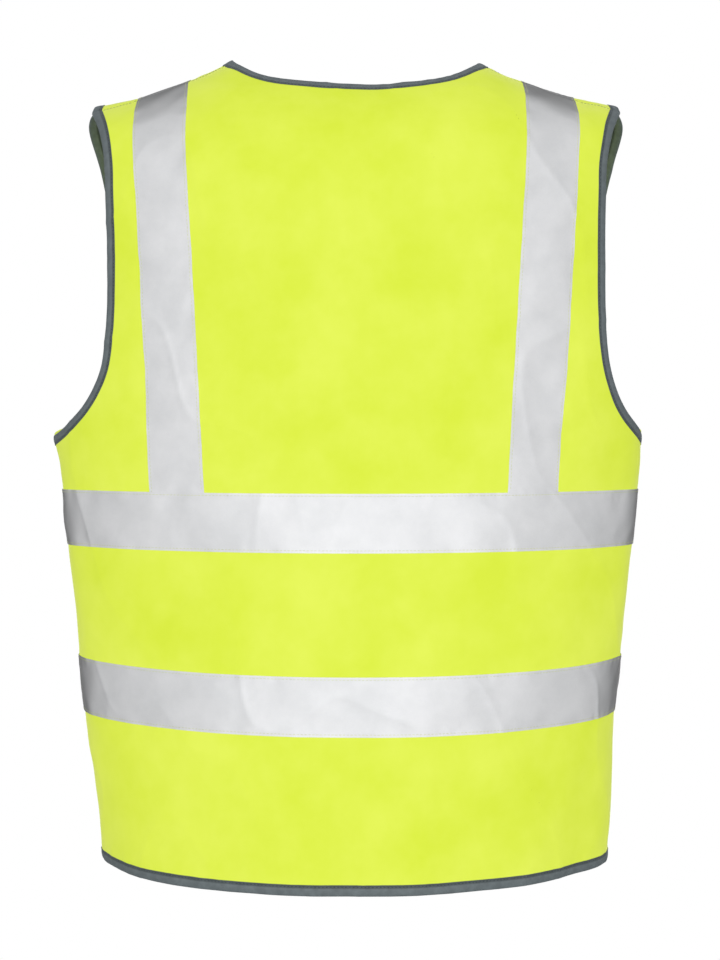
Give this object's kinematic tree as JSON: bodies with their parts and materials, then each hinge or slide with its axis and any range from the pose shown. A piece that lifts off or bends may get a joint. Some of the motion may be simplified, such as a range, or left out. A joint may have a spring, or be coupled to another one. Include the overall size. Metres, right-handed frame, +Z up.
{
  "type": "high visibility vest",
  "caption": "Sleeveless fluorescent yellow safety vest with grey bound edges, two reflective bands, shoulder braces and a front zip.",
  "frame": {"origin": "middle of the neck opening, level with the top of the shoulders, in the plane of the side seams", "axes": "+Z up, -Y towards the front of the vest, +X towards the wearer's left"},
  "size_m": [0.5362, 0.3037, 0.7293],
  "materials": {
    "fluorescent_cloth": "matte",
    "reflective_tape": "satin",
    "binding_cloth": "matte",
    "zip_cloth": "matte",
    "zip_plastic": "satin",
    "slider_metal": "satin",
    "label_cloth": "matte"
  },
  "bodies": {
    "back": {"back_panel": "fluorescent_cloth", "upper_band_back": "reflective_tape", "lower_band_back": "reflective_tape", "left_brace_back": "reflective_tape", "right_brace_back": "reflective_tape", "neck_binding_back": "binding_cloth", "left_armhole_binding_back": "binding_cloth", "right_armhole_binding_back": "binding_cloth", "hem_binding_back": "binding_cloth", "neck_label": "label_cloth", "care_label": "label_cloth"},
    "left_front": {"left_front_panel": "fluorescent_cloth", "upper_band_left_front": "reflective_tape", "lower_band_left_front": "reflective_tape", "left_brace_front": "reflective_tape", "neck_binding_left_front": "binding_cloth", "left_armhole_binding_front": "binding_cloth", "hem_binding_left_front": "binding_cloth", "zip_tape_left": "zip_cloth", "zip_teeth_left": "zip_plastic", "top_stop_left": "zip_plastic", "retainer_box": "zip_plastic"},
    "right_front": {"right_front_panel": "fluorescent_cloth", "upper_band_right_front": "reflective_tape", "lower_band_right_front": "reflective_tape", "right_brace_front": "reflective_tape", "neck_binding_right_front": "binding_cloth", "right_armhole_binding_front": "binding_cloth", "hem_binding_right_front": "binding_cloth", "zip_tape_right": "zip_cloth", "zip_teeth_right": "zip_plastic", "top_stop_right": "zip_plastic", "insertion_pin": "zip_plastic"},
    "zip_slider": {"zip_slider": "slider_metal"},
    "pull_tab": {"zip_pull_tab": "slider_metal"}
  },
  "joints": [
    {"name": "left_front_open", "type": "hinge", "parent": "back", "child": "left_front", "pos_m": [0.23298, 0, -0.731], "axis": [0.0974, 0, 0.9952], "range_deg": [0, 30]},
    {"name": "right_front_open", "type": "hinge", "parent": "back", "child": "right_front", "pos_m": [-0.23298, 0, -0.731], "axis": [0.0974, 0, -0.9952], "range_deg": [0, 30]},
    {"name": "zip_slide", "type": "slide", "parent": "left_front", "child": "zip_slider", "axis": [0, -0.0397, -0.9992], "range_m": [0, 0.4924]},
    {"name": "pull_tab_swing", "type": "hinge", "parent": "zip_slider", "child": "pull_tab", "pos_m": [0, -0.12842, -0.22042], "axis": [-1, 0, 0], "range_deg": [0, 170]}
  ]
}
